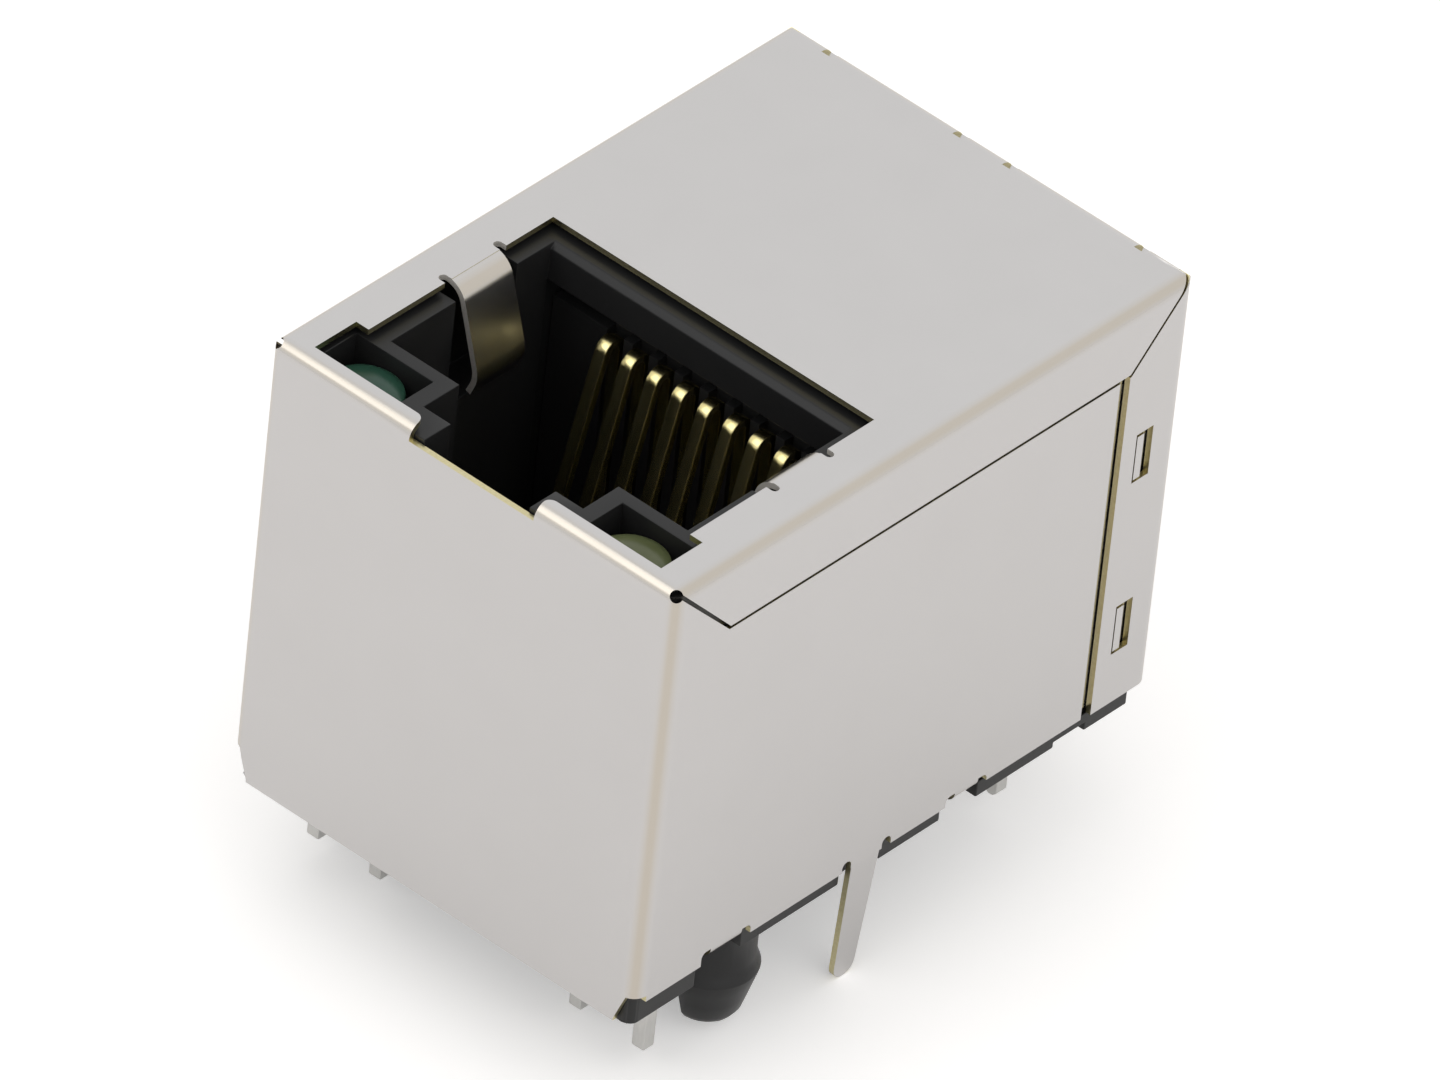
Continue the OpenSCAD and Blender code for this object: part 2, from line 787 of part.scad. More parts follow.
// A lead leaves the lamp's underside and steps back to its hole in the board
module lamp_lead(side, pole) {
    step = lead_y - lead_top_y + lead_w / 2;
    bend = lead_bend_r + lead_w / 2;
    slant = (step - 2 * bend * (1 - cos(lead_turn))) / sin(lead_turn);
    step_drop = slant * cos(lead_turn) + 2 * bend * sin(lead_turn);
    low_run = pin_below + lead_end_run;
    color(tin) from_front()
        translate([side * lamp_x + pole * lead_pitch / 2, lead_top_y, lamp_bottom])
            across(lead_w)
                rotate(-90)
                    translate([0, -lead_w])
                    folded_strip(lead_w, [
                        [lamp_bottom + pin_below - low_run - step_drop, lead_turn,
                         lead_bend_r],
                        [slant, -lead_turn, lead_bend_r],
                        [low_run, 0, 0]]);
}

// ---- module --------------------------------------------------------------

function pin_x(i) = (i - (pin_count - 1) / 2) * pin_pitch;
function pin_y(i) = pin_row_y - (i % 2 == 0 ? pin_row_gap : 0);

module terminal_pin(i) {
    tip = pin_tip;
    pin_top = pcb_top + pin_above_pcb;
    color(tin) from_front()
        translate([pin_x(i), pin_y(i), 0]) intersection() {
            translate([-pin_w / 2, -pin_w / 2, -pin_below])
                cube([pin_w, pin_w, pin_below + pin_top]);
            // both ends are pressed to a blunt point across the jack
            rearward(-pin_w, pin_w)
                polygon([[-pin_w / 2, -pin_below + tip], [-pin_w / 2 + tip, -pin_below],
                         [pin_w / 2 - tip, -pin_below], [pin_w / 2, -pin_below + tip],
                         [pin_w / 2, pin_top - tip], [pin_w / 2 - tip, pin_top],
                         [-pin_w / 2 + tip, pin_top], [-pin_w / 2, pin_top - tip]]);
        }
}

module module_base() {
    hole = pin_w + pin_press;
    color(black_plastic) from_front()
        difference() {
            union() {
                translate([-body_half, base_front, base_z])
                    cube([2 * body_half, base_step_y - base_front, base_plate_z - base_z]);
                translate([-body_half, base_front, base_step_z])
                    cube([2 * body_half, base_back - base_front,
                          base_plate_z - base_step_z]);
                translate([-body_half, base_foot_y, base_foot_z])
                    cube([2 * body_half, base_back - base_foot_y,
                          base_plate_z - base_foot_z]);
                translate([-base_half, base_front, base_z])
                    cube([2 * base_half, base_back - base_front, pcb_z - base_z]);
            }
            both_sides()
                translate([tab_bay_x, base_front - past, -past])
                    cube([tab_run + fold_out, rear_tab[1] - base_front + past + tab_bay_gap,
                          past + tab_bay_z]);
            for (i = [0:pin_count - 1])
                translate([pin_x(i) - hole / 2, pin_y(i) - hole / 2, -past])
                    cube([hole, hole, shell_h]);
            // a pocket keeps the rear foot to an even wall
            translate([base_pocket_wall - base_half, base_foot_y + base_foot_wall, -past])
                cube([2 * (base_half - base_pocket_wall),
                      base_back - base_foot_y - 2 * base_foot_wall,
                      past + base_pocket_roof]);
        }
}

module module_board() {
    color(board_green) from_front()
        difference() {
            translate([-pcb_half, pcb_front, pcb_z])
                cube([2 * pcb_half, pcb_back - pcb_front, pcb_t]);
            for (i = [0:contact_count - 1])
                translate([contact_x(i),
                           contact_back_y - contact_t / 2 + (i % 2 == 0 ? 0 : tail_jog),
                           pcb_z - past])
                    cylinder(r = tail_hole_r, h = pcb_t + 2 * past);
            for (i = [0:pin_count - 1])
                translate([pin_x(i), pin_y(i), pcb_z - past])
                    cylinder(r = pin_hole_r, h = pcb_t + 2 * past);
        }
}

// An insulating cap over the coils, open at its foot
module module_cover() {
    color(black_plastic) from_front()
        difference() {
            translate([-cover_half, cover_front, pcb_top])
                cube([2 * cover_half, cover_back - cover_front, cover_top - pcb_top]);
            translate([-cover_half + cover_wall, cover_front + cover_wall, pcb_z])
                cube([2 * (cover_half - cover_wall),
                      cover_back - cover_front - 2 * cover_wall,
                      cover_top - pcb_z - cover_wall]);
        }
}

function coil_place(i) = [(i % 2 == 0 ? -1 : 1) * coil_x, coil_y[floor(i / 2)],
                          pcb_top + pin_above_pcb + fit_gap + winding_t];

module toroid_core(i) {
    color(ferrite) from_front()
        translate(coil_place(i))
            difference() {
                cylinder(r = core_r, h = core_h);
                translate([0, 0, -past]) cylinder(r = core_in, h = core_h + 2 * past);
            }
}

// The winding is wound round most of the ring, and leaves a gap for its ends
module winding(i) {
    c = winding_gap;
    color(copper_wire) from_front()
        translate(coil_place(i)) rotate([0, 0, 20 + 40 * i])
            rotate_extrude(angle = winding_turn)
                difference() {
                    translate([core_in - winding_t, -winding_t])
                        square([core_r - core_in + 2 * winding_t,
                                core_h + 2 * winding_t]);
                    translate([core_in - c, -c])
                        square([core_r - core_in + 2 * c, core_h + 2 * c]);
                }
}

module chip_capacitor() {
    color(ceramic) from_front()
        translate([-capacitor_w / 2, chip_front, pcb_top])
            cube([capacitor_w, pin_y(0) - pin_w / 2 - chip_pin_gap - chip_front,
                  capacitor_h]);
}

module chip_resistors() {
    color(resistor_black) from_front()
        for (x = [-0.5, 0.5], y = [0, 1])
            translate([x * resistor_pitch[0] - resistor_size[0] / 2,
                       pin_row_y + pin_w / 2 + resistor_pin_gap + y * resistor_pitch[1],
                       pcb_top])
                cube(resistor_size);
}

// ---- nodes ---------------------------------------------------------------

shield();
housing();
contact_carrier();
for (i = [0:contact_count - 1])
    contact(i);
lamp(-1, green_epoxy);  // green_lamp
lamp_lead(-1, -1);  // green_lamp_anode
lamp_lead(-1, 1);  // green_lamp_cathode
lamp(1, yellow_epoxy);  // yellow_lamp
lamp_lead(1, 1);  // yellow_lamp_anode
lamp_lead(1, -1);  // yellow_lamp_cathode
module_base();
module_board();
module_cover();
chip_capacitor();
chip_resistors();
for (i = [0:3]) {
    toroid_core(i);
    winding(i);
}
for (i = [0:pin_count - 1])
    terminal_pin(i);
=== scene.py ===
# %% [markdown]
# # A shielded jack for a circuit board
# A modular jack is a black moulded housing with eight sprung contact wires,
# pushed into a folded hood of thin plated sheet. The plug goes in from the
# top. Two small lamps sit beside the latch slot, and a transformer module
# fills the room behind the plug cavity. This lesson takes the solids as they
# are made, gives the visible ones their edges and finishes, and lights them.

# %% Load the solids and measure them
import json
import math

import bpy
from mathutils import Matrix, Vector
from mathutils.bvhtree import BVHTree


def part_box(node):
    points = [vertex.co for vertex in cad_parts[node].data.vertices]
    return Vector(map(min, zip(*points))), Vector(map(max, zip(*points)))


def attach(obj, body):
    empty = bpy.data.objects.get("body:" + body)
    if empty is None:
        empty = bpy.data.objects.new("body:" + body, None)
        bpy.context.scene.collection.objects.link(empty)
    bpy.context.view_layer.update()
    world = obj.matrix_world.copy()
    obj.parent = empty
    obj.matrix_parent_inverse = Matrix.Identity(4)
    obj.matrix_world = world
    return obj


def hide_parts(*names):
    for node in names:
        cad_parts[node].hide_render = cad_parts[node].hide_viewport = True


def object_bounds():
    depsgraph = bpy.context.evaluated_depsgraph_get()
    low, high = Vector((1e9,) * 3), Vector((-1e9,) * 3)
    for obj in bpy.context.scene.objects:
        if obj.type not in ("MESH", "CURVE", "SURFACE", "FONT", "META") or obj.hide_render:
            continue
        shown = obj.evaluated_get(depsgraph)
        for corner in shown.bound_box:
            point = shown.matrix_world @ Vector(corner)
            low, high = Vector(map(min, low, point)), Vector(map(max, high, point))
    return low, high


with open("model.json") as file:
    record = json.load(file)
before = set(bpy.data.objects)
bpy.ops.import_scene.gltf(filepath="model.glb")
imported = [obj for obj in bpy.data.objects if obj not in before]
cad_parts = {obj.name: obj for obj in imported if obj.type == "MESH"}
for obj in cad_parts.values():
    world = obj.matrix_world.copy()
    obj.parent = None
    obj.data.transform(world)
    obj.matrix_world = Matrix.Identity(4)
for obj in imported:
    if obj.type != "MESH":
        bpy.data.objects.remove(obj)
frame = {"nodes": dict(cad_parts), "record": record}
nodes = frame["nodes"]
slot_of = {row["node"]: row["material_slot"] for row in frame["record"]["subparts"]}
cad_box = [list(corner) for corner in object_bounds()]
MM = 0.001
low, high = Vector(cad_box[0]), Vector(cad_box[1])
middle = (low + high) / 2
print("object, mm:", [round(v / MM, 2) for v in high - low])

# %% [markdown]
# ## The camera
# A long lens from far away keeps the box's edges nearly parallel, as in a
# studio shot of a small part. The camera stands in front and to the right,
# looks down on the jack, and is turned a few degrees about its own line of
# sight. So it is placed by turns: round the jack, up, about its own line,
# and then straight back by its distance.

# %% Camera
azimuth, elevation, roll = math.radians(38.4), math.radians(38.57), math.radians(6.21)
camera_distance = 860.4 * MM
aim = middle + Vector((-0.11, 0.62, 0.7)) * MM
focal_mm, sensor_mm = 720.1, 36
long_lens = bpy.data.cameras.new("long lens")
long_lens.lens, long_lens.sensor_width = focal_mm, sensor_mm
camera = bpy.data.objects.new("camera", long_lens)
bpy.context.collection.objects.link(camera)
upright = math.radians(90)
turn = (Matrix.Rotation(azimuth, 4, "Z") @ Matrix.Rotation(upright - elevation, 4, "X")
        @ Matrix.Rotation(roll, 4, "Z"))
back = Matrix.Translation((0, 0, camera_distance))
camera.matrix_world = Matrix.Translation(aim) @ turn @ back
bpy.context.scene.camera = camera
print("camera place, mm:", [round(v / MM) for v in camera.matrix_world.translation])

# %% [markdown]
# ## Colours and nodes
# Colours are picked as they look on a screen, in sRGB. The shader wants
# linear light, so one function turns a hex value into that. A second one
# adds a node with its settings and its links. The others are the few moves
# that nearly every material makes: a noise of a known size, a colour or a
# value that follows it, a fine relief, and the surface shader itself. They
# keep each material below short enough to read as a recipe.

# %% Helpers for node trees
def colour(hex_value):
    """An sRGB hex value as linear light."""
    linear = []
    for i in (1, 3, 5):
        c = int(hex_value[i:i + 2], 16) / 255
        linear.append(c / 12.92 if c <= 0.04045 else ((c + 0.055) / 1.055) ** 2.4)
    return (*linear, 1.0)


def add(tree, kind, settings=None, **links):
    """Adds one node. A link has its socket's name, with _ for a space, or i
    and the socket's number. A socket is linked when given an output, and set
    when given a value."""
    node = tree.nodes.new(kind)
    for key, value in (settings or {}).items():
        setattr(node, key, value)
    for key, value in links.items():
        numbered = key[0] == "i" and key[1:].isdigit()
        socket = node.inputs[int(key[1:]) if numbered else key.replace("_", " ")]
        if isinstance(value, bpy.types.NodeSocket):
            tree.links.new(value, socket)
        else:
            socket.default_value = value
    return node


def largest(tree, *values):
    """The largest of several values."""
    most = values[0]
    for value in values[1:]:
        most = add(tree, "ShaderNodeMath", {"operation": "MAXIMUM"}, i0=most, i1=value).outputs[0]
    return most


def looked_at(tree):
    """1 where a ray shows a thing itself or its reflection, and 0 where the
    ray only gathers light."""
    path = tree.nodes.new("ShaderNodeLightPath")
    rays = ("Is Camera Ray", "Is Glossy Ray", "Is Transmission Ray")
    return largest(tree, *(path.outputs[ray] for ray in rays))


def noise(tree, size_mm, detail, roughness=0.5, stretch=(1.0, 1.0, 1.0)):
    """A noise in the object's own space, with features of about this size."""
    where = tree.nodes.new("ShaderNodeTexCoord")
    scaled = add(tree, "ShaderNodeMapping", Vector=where.outputs["Object"], Scale=stretch)
    made = add(tree, "ShaderNodeTexNoise", Vector=scaled.outputs[0],
               Scale=1 / (size_mm * MM), Detail=detail, Roughness=roughness)
    return made.outputs["Fac"]


def between(tree, factor, dark, light):
    """A colour that runs from dark to light with the factor. Both ends are
    hex values or outputs."""
    ends = [end if isinstance(end, bpy.types.NodeSocket) else colour(end)
            for end in (dark, light)]
    mixed = add(tree, "ShaderNodeMix", {"data_type": "RGBA"}, i0=factor, i6=ends[0], i7=ends[1])
    return mixed.outputs[2]


def steered(tree, factor, least, most):
    """A value that goes from least to most over the middle of a noise, where
    nearly all of it lies."""
    dips, peaks = 0.3, 0.7
    made = add(tree, "ShaderNodeMapRange", Value=factor, From_Min=dips, From_Max=peaks,
               To_Min=least, To_Max=most)
    return made.outputs[0]


def relief(tree, height, strength, depth_mm):
    """A fine relief of this depth, as a normal."""
    made = add(tree, "ShaderNodeBump", Strength=strength, Distance=depth_mm * MM, Height=height)
    return made.outputs[0]


def surface(tree, **settings):
    """The surface shader, led to the material's output."""
    shader = add(tree, "ShaderNodeBsdfPrincipled", **settings)
    add(tree, "ShaderNodeOutputMaterial", Surface=shader.outputs[0])


def new_material(name):
    """An empty node material, and its tree."""
    made = bpy.data.materials.new(name)
    made.use_nodes = True
    made.node_tree.nodes.clear()
    return made, made.node_tree


# %% [markdown]
# ## Light
# Satin nickel has hardly a colour of its own: it shows what stands round it.
# A white room makes it the pale warm grey that the plating is, and a few
# large soft lamps give the folds their gradients. The room is plain white
# where the camera or a reflection looks at it, and a little lower as a
# source, so the lamps still model the shape. The key lamp is the one that
# the front lip mirrors as a bright line.

# %% World and lamps
scene = bpy.context.scene
scene.view_settings.view_transform = "Standard"
world = bpy.data.worlds.new("white room")
scene.world = world
world.use_nodes = True
sky = world.node_tree
sky.nodes.clear()
room_as_source, room_as_seen = 0.72, 1.0
dimmer = add(sky, "ShaderNodeBackground", Color=colour("#ffffff"), Strength=room_as_source)
plain = add(sky, "ShaderNodeBackground", Color=colour("#ffffff"), Strength=room_as_seen)
room = add(sky, "ShaderNodeMixShader", i0=looked_at(sky), i1=dimmer.outputs[0], i2=plain.outputs[0])
add(sky, "ShaderNodeOutputWorld", Surface=room.outputs[0])


def soft_lamp(name, place_mm, size_mm, watts):
    """A square area lamp that faces the middle of the object."""
    lamp = bpy.data.lights.new(name, "AREA")
    lamp.size, lamp.energy = size_mm * MM, watts
    stand = bpy.data.objects.new(name, lamp)
    bpy.context.collection.objects.link(stand)
    stand.location = Vector(place_mm) * MM
    stand.rotation_euler = (middle - stand.location).to_track_quat("-Z", "Y").to_euler()


soft_lamp("key", (-60, -140, 170), size_mm=150, watts=0.08)
soft_lamp("fill", (190, -40, 110), size_mm=240, watts=0.085)
soft_lamp("rear", (0, 230, 70), size_mm=160, watts=0.06)

# %% [markdown]
# ## The floor
# The jack stands on its legs on a plain white sheet, which is so wide that
# the camera never sees its end. A little glow is added to the paper where it
# is looked at, and some more for the camera alone, so it stays white without
# lighting the jack from below.

# %% Floor
white_sheet, tree = new_material("white paper sheet")
paper_fibre_mm, paper_glow, backdrop_glow = 0.4, 0.2, 0.14
fibres = noise(tree, paper_fibre_mm, detail=3.0)
paper = add(tree, "ShaderNodeBsdfDiffuse", Color=colour("#f6f4f2"),
            Normal=relief(tree, fibres, strength=0.05, depth_mm=0.02))
paper_path = tree.nodes.new("ShaderNodeLightPath")
glow_seen = add(tree, "ShaderNodeMath", {"operation": "MULTIPLY"},
                i0=looked_at(tree), i1=paper_glow)
glow = add(tree, "ShaderNodeMath", {"operation": "MULTIPLY_ADD"},
           i0=paper_path.outputs["Is Camera Ray"], i1=backdrop_glow, i2=glow_seen.outputs[0])
lift = add(tree, "ShaderNodeEmission", Color=colour("#ffffff"), Strength=glow.outputs[0])
lit_paper = add(tree, "ShaderNodeAddShader", i0=paper.outputs[0], i1=lift.outputs[0])
add(tree, "ShaderNodeOutputMaterial", Surface=lit_paper.outputs[0])


def deselect_all():
    """Leaves edit mode, and selects nothing."""
    if bpy.context.object and bpy.context.object.mode != "OBJECT":
        bpy.ops.object.mode_set(mode="OBJECT")
    bpy.ops.object.select_all(action="DESELECT")


deselect_all()
floor_width = 800 * MM
bpy.ops.mesh.primitive_grid_add(x_subdivisions=8, y_subdivisions=8, size=floor_width,
                                location=(0, 0, low.z))
floor = bpy.context.object
floor.name = "floor"
bpy.ops.object.transform_apply(location=True, rotation=True, scale=True)
floor.data.materials.append(white_sheet)
print("floor height, mm:", round(low.z / MM, 2))

# %% [markdown]
# ## Satin nickel on folded brass
# The hood is brass sheet. It is plated with satin nickel before it is
# stamped and folded, so its faces are a pale, slightly warm grey with a soft
# gloss. The folds get painted shade: a darker, warmer tan where the surface
# faces none of the three axes squarely, standing for how the bends take the
# light. A metal's base colour is the colour that it gives to a reflection, so
# most of the look comes from the white room; roughness spreads it. Faint
# clouds in the roughness and a very fine grain keep the wide flat walls from
# looking like plastic. The real rolling grain is about 0.01 mm; it is drawn
# coarser here, to show at all.

# %% The plated sheet's material
nickel_face, tree = new_material("satin nickel plated brass")
cloud_mm, grain_mm, grain_stretch = 2.5, 0.05, (1.0, 0.25, 0.25)
square_on, well_turned, painted_fold_shade = 0.995, 0.8, 0.65
where = tree.nodes.new("ShaderNodeTexCoord")
facing = add(tree, "ShaderNodeVectorMath", {"operation": "ABSOLUTE"}, i0=where.outputs["Normal"])
axes = add(tree, "ShaderNodeSeparateXYZ", Vector=facing.outputs[0])
# Painted shade on the folds: where the surface faces no axis squarely, the colour turns towards a
# darker warm tan.
on_fold = add(tree, "ShaderNodeMapRange", Value=largest(tree, *axes.outputs),
              From_Min=square_on, From_Max=well_turned, To_Min=0.0, To_Max=painted_fold_shade)
clouds = noise(tree, cloud_mm, detail=4.0, roughness=0.55)
grain = noise(tree, grain_mm, detail=2.0, stretch=grain_stretch)
flat_tone = between(tree, clouds, "#c6c4c3", "#cac8c7")
surface(tree, Base_Color=between(tree, on_fold.outputs[0], flat_tone, "#bdb3a2"), Metallic=1.0,
        Roughness=steered(tree, clouds, least=0.21, most=0.26),
        Normal=relief(tree, grain, strength=0.05, depth_mm=0.002))

# %% [markdown]
# The die cuts the sheet after plating, so a cut edge is raw brass: a yellow
# line, with the torn lighter and darker streaks of the punch across it.

# %% The cut edge's material
brass_edge, tree = new_material("raw brass cut edge")
streak_mm = 0.08
streaks = noise(tree, streak_mm, detail=3.0, roughness=0.7)
surface(tree, Base_Color=between(tree, streaks, "#b5aa7e", "#e2dab2"), Metallic=1.0,
        Roughness=0.3, Normal=relief(tree, streaks, strength=0.3, depth_mm=0.01))

# %% [markdown]
# The narrow edges of the two spring fingers look different. The die has
# dragged the plating over them, so they are silver and a little rough, and
# they catch the light from above.

# %% The fingers' edge material
silver_edge, tree = new_material("barrel plated nickel edge")
nodule_mm = 0.06
nodules = noise(tree, nodule_mm, detail=3.0)
surface(tree, Base_Color=between(tree, nodules, "#c2beb8", "#dedbd6"), Metallic=1.0,
        Roughness=0.7, Normal=relief(tree, nodules, strength=0.25, depth_mm=0.008))

# %% [markdown]
# ## Moulded black polyester
# The housing, the comb that holds the contacts and the module's base are
# glass-filled PBT. Moulding leaves a fine spark-eroded grain and a low
# gloss: nearly black where it is dark around, dark grey where it shows the
# room.

# %% The black plastic's material
pbt, tree = new_material("moulded black PBT")
flow_mm, spark_mm = 3.0, 0.07
flow = noise(tree, flow_mm, detail=3.0)
spark = noise(tree, spark_mm, detail=2.0, roughness=0.6)
surface(tree, Base_Color=between(tree, flow, "#1c1c1d", "#262626"), Specular_IOR_Level=0.29,
        Roughness=steered(tree, flow, least=0.32, most=0.4),
        Normal=relief(tree, spark, strength=0.15, depth_mm=0.006))

# %% [markdown]
# ## Wire, leads and pins
# The contacts are phosphor bronze wire under hard gold, drawn and then
# plated, so they are smooth and reflect the dark cavity as well as the room.
# The lamp leads and the terminal pins carry matt tin, whose crystals show as
# a faint mottle. The coils are enamelled copper.

# %% The wire and lead materials
def drawn_metal(name, dark, light, mottle_mm, smooth, rough, bump):
    """A plated wire: two close tones in a mottle, drawn out along its length."""
    made, tree = new_material(name)
    mottle = noise(tree, mottle_mm, detail=3.0, stretch=(1.0, 1.0, 0.3))
    surface(tree, Base_Color=between(tree, mottle, dark, light), Metallic=1.0,
            Roughness=steered(tree, mottle, least=smooth, most=rough),
            Normal=relief(tree, mottle, strength=bump, depth_mm=0.003))
    return made


gold = drawn_metal("hard gold on phosphor bronze", "#ddcf8e", "#eadda6",
                   mottle_mm=0.4, smooth=0.24, rough=0.26, bump=0.02)
tin = drawn_metal("matt tin on copper alloy", "#c6c5c2", "#d8d7d4",
                  mottle_mm=0.12, smooth=0.3, rough=0.42, bump=0.25)
copper = drawn_metal("enamelled copper wire", "#8f4322", "#b9652f",
                     mottle_mm=0.2, smooth=0.2, rough=0.3, bump=0.2)

# %% [markdown]
# ## Tinted epoxy
# Each lamp is cast in epoxy tinted in its own colour, with a fine white
# powder that spreads the light. Unlit, it is a dark, milky lens with a soft
# skin: darker in the depth over the reflector cup, lighter at its rim.
# Subsurface light gives the milk, and a noise keeps it from being even.

# %% The lamps' materials
def middle_of_top(name):
    """The middle of a solid's top face."""
    near, far = (Vector(corner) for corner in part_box(name))
    return Vector(((near.x + far.x) / 2, (near.y + far.y) / 2, far.z))


def tinted_epoxy(name, deep, milk, cup):
    """Epoxy that is deep in tone over the cup and milky towards its rim."""
    made, tree = new_material(name)
    wisp_mm, wisp_share = 0.7, 0.3
    over_cup, at_rim, scatter = 0.3 * MM, 1.5 * MM, 0.6 * MM
    where = tree.nodes.new("ShaderNodeTexCoord")
    from_cup = add(tree, "ShaderNodeVectorMath", {"operation": "DISTANCE"},
                   i0=where.outputs["Object"], i1=cup)
    ring = add(tree, "ShaderNodeMapRange", Value=from_cup.outputs["Value"],
               From_Min=over_cup, From_Max=at_rim, To_Min=0.05, To_Max=0.8)
    milkiness = add(tree, "ShaderNodeMath", {"operation": "MULTIPLY_ADD"},
                    i0=noise(tree, wisp_mm, detail=3.0), i1=wisp_share, i2=ring.outputs[0])
    surface(tree, Base_Color=between(tree, milkiness.outputs[0], deep, milk),
            Roughness=0.3, IOR=1.5, Specular_IOR_Level=0.35, Subsurface_Weight=0.25,
            Subsurface_Radius=(0.5, 0.5, 0.5), Subsurface_Scale=scatter)
    return made


green = tinted_epoxy("green tinted epoxy", "#1b4032", "#325646", middle_of_top("green_lamp"))
yellow = tinted_epoxy("yellow tinted epoxy", "#4a502c", "#6e7652", middle_of_top("yellow_lamp"))

# %% [markdown]
# ## What is inside
# The module board is glass and epoxy laminate under a green mask, and the
# weave shows through as a fine check. The ferrite rings, the chips and the
# resistors are pressed or fired powders. These parts can be seen only when
# the jack is taken apart, and they get their real finishes all the same.

# %% The inner parts' materials
laminate, tree = new_material("masked glass epoxy laminate")
where = tree.nodes.new("ShaderNodeTexCoord")
thread, band_at_scale_one = 0.4 * MM, 0.314
warp, weft = (add(tree, "ShaderNodeTexWave", {"bands_direction": axis},
                  Vector=where.outputs["Object"], Scale=band_at_scale_one / thread)
              for axis in "XY")
weave = add(tree, "ShaderNodeMath", {"operation": "MULTIPLY"},
            i0=warp.outputs["Fac"], i1=weft.outputs["Fac"])
surface(tree, Base_Color=between(tree, weave.outputs[0], "#24502f", "#3d7346"), Roughness=0.3)


def fired_powder(name, dark, light, grain_mm, rough):
    """A pressed and fired body: matt, with a fine even grain."""
    made, tree = new_material(name)
    grain = noise(tree, grain_mm, detail=4.0, roughness=0.65)
    surface(tree, Base_Color=between(tree, grain, dark, light), Roughness=rough,
            Normal=relief(tree, grain, strength=0.3, depth_mm=0.01))
    return made


finishes = {
    "nickel_sheet": nickel_face,
    "black_plastic": pbt,
    "gold_wire": gold,
    "tin_lead": tin,
    "green_epoxy": green,
    "yellow_epoxy": yellow,
    "circuit_board": laminate,
    "enamelled_copper": copper,
    "ceramic_chip": fired_powder("fired ceramic", "#b39c6e", "#cfc09a",
                                 grain_mm=0.1, rough=0.5),
    "resistor_film": fired_powder("overglazed resistor film", "#1c1d22", "#2b2d33",
                                  grain_mm=0.1, rough=0.3),
    "ferrite": fired_powder("pressed ferrite", "#2b2826", "#45403c",
                            grain_mm=0.08, rough=0.6),
}
print("finishes:", len(finishes))

# %% [markdown]
# ## Dressing the solids
# The solids have knife-sharp edges, and real ones hardly ever do: a moulding
# has a small radius from its tool, and a drawn wire has one from its die. An
# edge without a radius catches no light, which is what makes a model look
# like a drawing. So each visible solid is copied, its loose triangles are
# merged into clean faces, and a bevel modifier rounds its sharp edges and
# leaves the round surfaces alone.

# %% Copy, clean and round one solid
sharp_turn = math.radians(30)
same_point, flat_turn = 0.0005 * MM, math.radians(0.8)


def make_active(piece):
    """Selects one piece alone."""
    deselect_all()
    piece.select_set(True)
    bpy.context.view_layer.objects.active = piece


def clean_copy(name, flatten=True):
    """A copy of a solid with its corners merged. Where flatten is set, its
    triangles become flat faces too; a face with large openings in it can't
    be one clean polygon, so such a solid keeps its triangles."""
    piece = bpy.data.objects.new(name + "_dressed", nodes[name].data.copy())
    bpy.context.collection.objects.link(piece)
    make_active(piece)
    bpy.ops.mesh.customdata_custom_splitnormals_clear()
    bpy.ops.object.mode_set(mode="EDIT")
    bpy.ops.mesh.select_mode(type="VERT")
    bpy.ops.mesh.select_all(action="SELECT")
    bpy.ops.mesh.remove_doubles(threshold=same_point)
    if flatten:
        bpy.ops.mesh.dissolve_limited(angle_limit=flat_turn)
    bpy.ops.object.mode_set(mode="OBJECT")
    piece.data.materials.clear()
    piece.data.materials.append(finishes[slot_of[name]])
    return piece


def round_edges(piece, edge_mm):
    """Rounds the sharp edges and leaves the round surfaces alone."""
    make_active(piece)
    bevel = piece.modifiers.new("rounded edges", "BEVEL")
    bevel.width, bevel.segments = edge_mm * MM, 2
    bevel.limit_method, bevel.angle_limit = "ANGLE", sharp_turn
    bevel.use_clamp_overlap = False
    bpy.ops.object.modifier_apply(modifier=bevel.name)


def put_in_place(piece, name):
    """Shades the piece smooth up to its edges, and lets it stand for its solid."""
    make_active(piece)
    bpy.ops.object.shade_smooth_by_angle(angle=sharp_turn)
    level = piece.modifiers.new("flat faces lead", "WEIGHTED_NORMAL")
    level.weight, level.keep_sharp = 100, True
    bpy.ops.object.modifier_apply(modifier=level.name)
    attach(piece, "root")
    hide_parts(name)


# %% [markdown]
# ### The hood
# Its cut edges need the raw brass. A face is a cut edge when the metal
# behind it is clearly deeper than the sheet is thick, so a ray is sent
# inwards from the largest triangle of each face and its length is measured.

# %% Measure the hood's metal
sheet_thickness = 0.2 * MM
just_inside = 0.001 * MM
hood = clean_copy("shield")
hood.data.calc_loop_triangles()
metal = BVHTree.FromPolygons([corner.co.copy() for corner in hood.data.vertices],
                             [tuple(t.vertices) for t in hood.data.loop_triangles])
largest_part = {}
for triangle in hood.data.loop_triangles:
    known = largest_part.get(triangle.polygon_index)
    if known is None or triangle.area > known.area:
        largest_part[triangle.polygon_index] = triangle


def metal_behind(triangle):
    """How deep the metal is behind a triangle."""
    inwards = -triangle.normal
    hit = metal.ray_cast(triangle.center + inwards * just_inside, inwards)
    return hit[3] if hit[0] is not None else 0.0


print("hood faces:", len(largest_part))

# %% [markdown]
# The latch lances at the rear are no cut edges, although the metal is deep
# there, and the spring fingers' edges get the dragged plating. The edges of
# so thin a sheet are rounded by a hundredth of a millimetre at most, which
# nothing here can show, so the hood gets no bevel and its folds keep their
# clean shading.

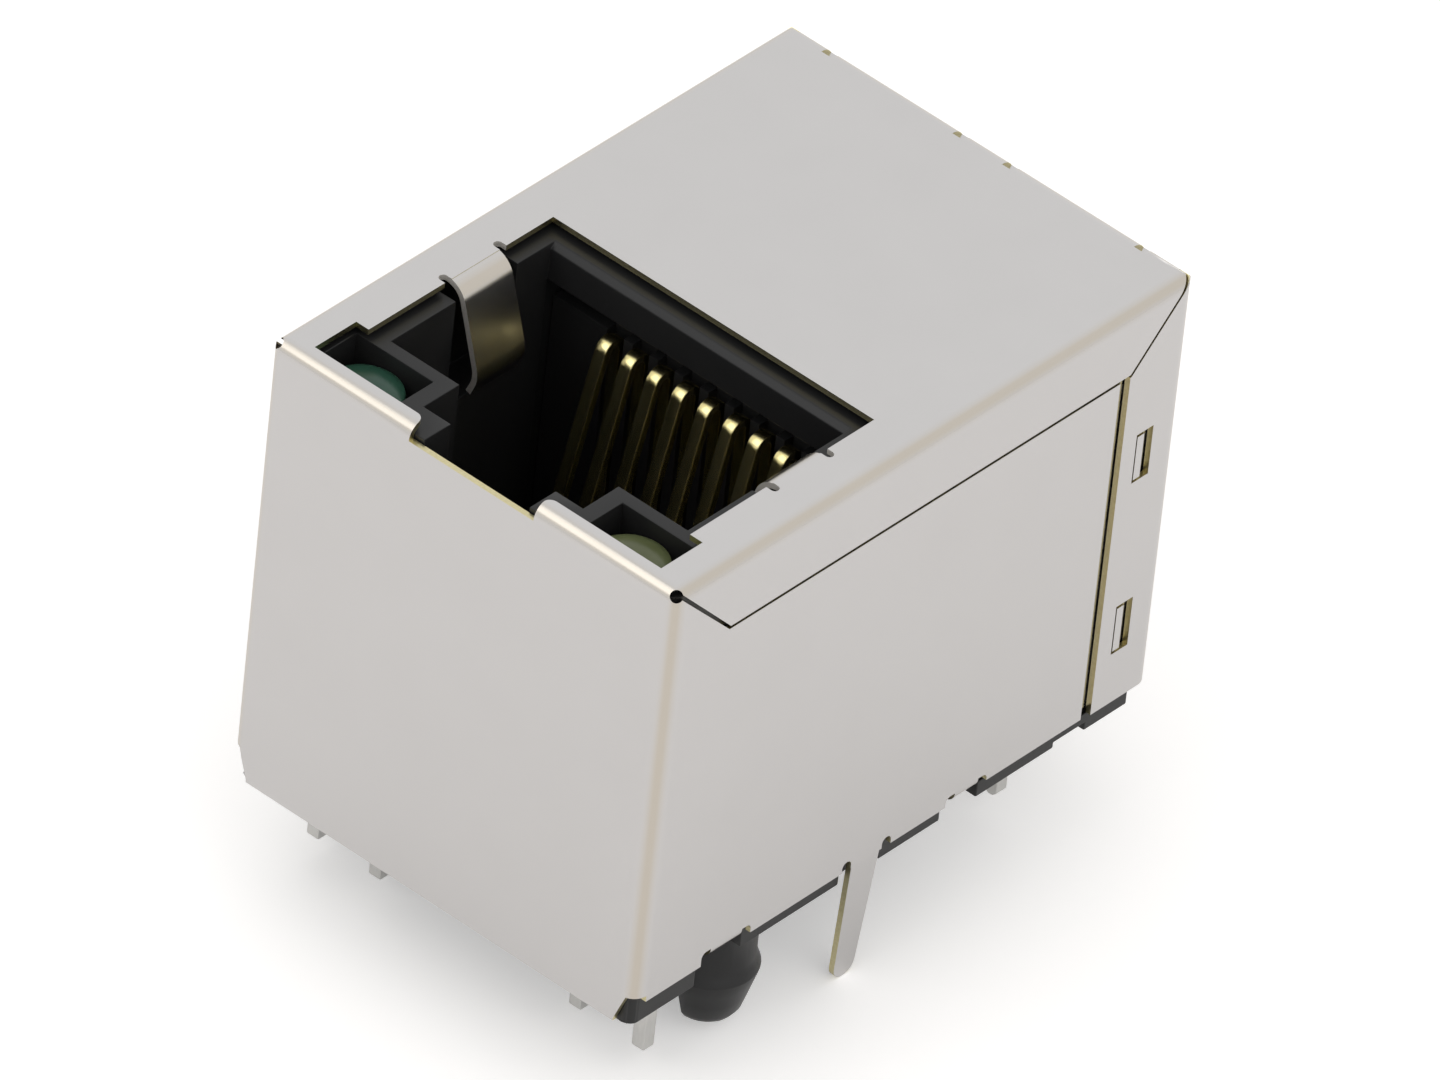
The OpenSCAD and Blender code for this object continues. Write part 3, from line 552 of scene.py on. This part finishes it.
# %% Dress the hood
cut_edge_depth = 1.35 * sheet_thickness
lance_side, lance_start, least_slant = 7.5 * MM, high.y - 3.4 * MM, 0.25
finger_x = (4.8 * MM, 7.3 * MM)
finger_y = (low.y + 5 * MM, low.y + 9 * MM)
finger_z = (high.z - 4 * MM, high.z - 0.05 * MM)


def on_lance(triangle):
    """Whether a triangle belongs to a latch lance."""
    return (abs(triangle.normal.x) > least_slant and triangle.center.y > lance_start
            and abs(triangle.center.x) > lance_side)


def on_finger(place):
    """Whether a place is on a spring finger, below the hood's top."""
    spans = ((abs(place.x), finger_x), (place.y, finger_y), (place.z, finger_z))
    return all(start < value < end for value, (start, end) in spans)


cut_edges = [i for i, triangle in largest_part.items()
             if metal_behind(triangle) > cut_edge_depth and not on_lance(triangle)]
raw_cut, dragged_cut = 1, 2
for edge_finish in (brass_edge, silver_edge):
    hood.data.materials.append(edge_finish)
for i in cut_edges:
    face = hood.data.polygons[i]
    face.material_index = dragged_cut if on_finger(face.center) else raw_cut
put_in_place(hood, "shield")
print("cut-edge faces:", len(cut_edges))

# %% [markdown]
# ### Mouldings, lamps, wires and pins
# The mouldings get the radius of their tool, the lamps the meniscus of the
# cast epoxy, and the wires and pins the round edges of drawn strip. The
# housing keeps its triangles, because its top face has the large openings.

# %% Dress the other visible parts
edge_sizes_mm = {"housing": 0.04, "contact_carrier": 0.04, "module_base": 0.05,
                 "module_cover": 0.08, "module_board": 0.03,
                 "green_lamp": 0.08, "yellow_lamp": 0.08}
wire_edge_mm, pin_edge_mm = 0.06, 0.05
for name in nodes:
    is_contact = name.startswith("contact_") and name[-1].isdigit()
    if is_contact or name.endswith(("anode", "cathode")):
        edge_sizes_mm[name] = wire_edge_mm
    elif name.startswith("terminal_pin"):
        edge_sizes_mm[name] = pin_edge_mm
for name, edge_mm in edge_sizes_mm.items():
    piece = clean_copy(name, flatten=name != "housing")
    round_edges(piece, edge_mm)
    put_in_place(piece, name)
print("dressed parts:", len(edge_sizes_mm) + 1)

# %% [markdown]
# The coils and chips keep their solids, and only get their finishes.

# %% Finish what stays as it is
kept = [name for name in nodes if name not in edge_sizes_mm and name != "shield"]
for name in kept:
    for place in nodes[name].material_slots:
        place.material = finishes[slot_of[name]]
print("kept solids:", len(kept))
